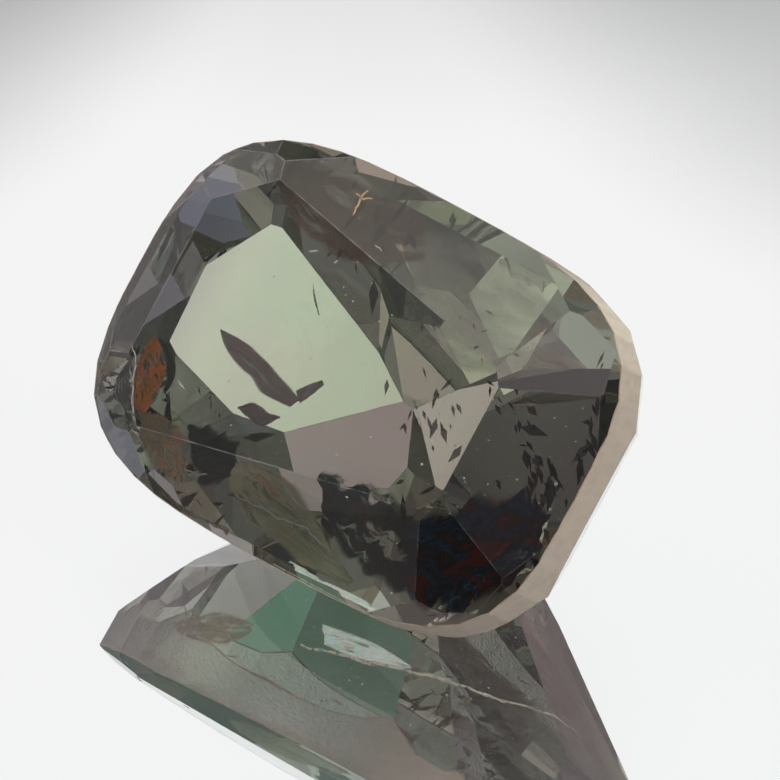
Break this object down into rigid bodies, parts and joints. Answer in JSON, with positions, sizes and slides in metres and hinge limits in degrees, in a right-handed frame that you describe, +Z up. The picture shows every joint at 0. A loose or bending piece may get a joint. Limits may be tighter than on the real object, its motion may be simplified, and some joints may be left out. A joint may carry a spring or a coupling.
{
  "type": "faceted alexandrite gemstone",
  "caption": "Transparent cushion-cut alexandrite gem with a low crown, thick girdle and deep pavilion, lying on a pavilion facet.",
  "frame": {"origin": "on the surface that the stone lies on, under the middle of its box", "axes": "+Z up, square to the pavilion facet that the stone rests on; the table faces up, towards -X and -Y; the long axis heads 42.65 degrees from +X towards -Y"},
  "size_m": [0.0066, 0.0066, 0.0048],
  "materials": {
    "alexandrite": "clear polished grey-green chrysoberyl, refractive index 1.75"
  },
  "bodies": {
    "root": {"alexandrite_gem": "alexandrite"}
  },
  "joints": []
}
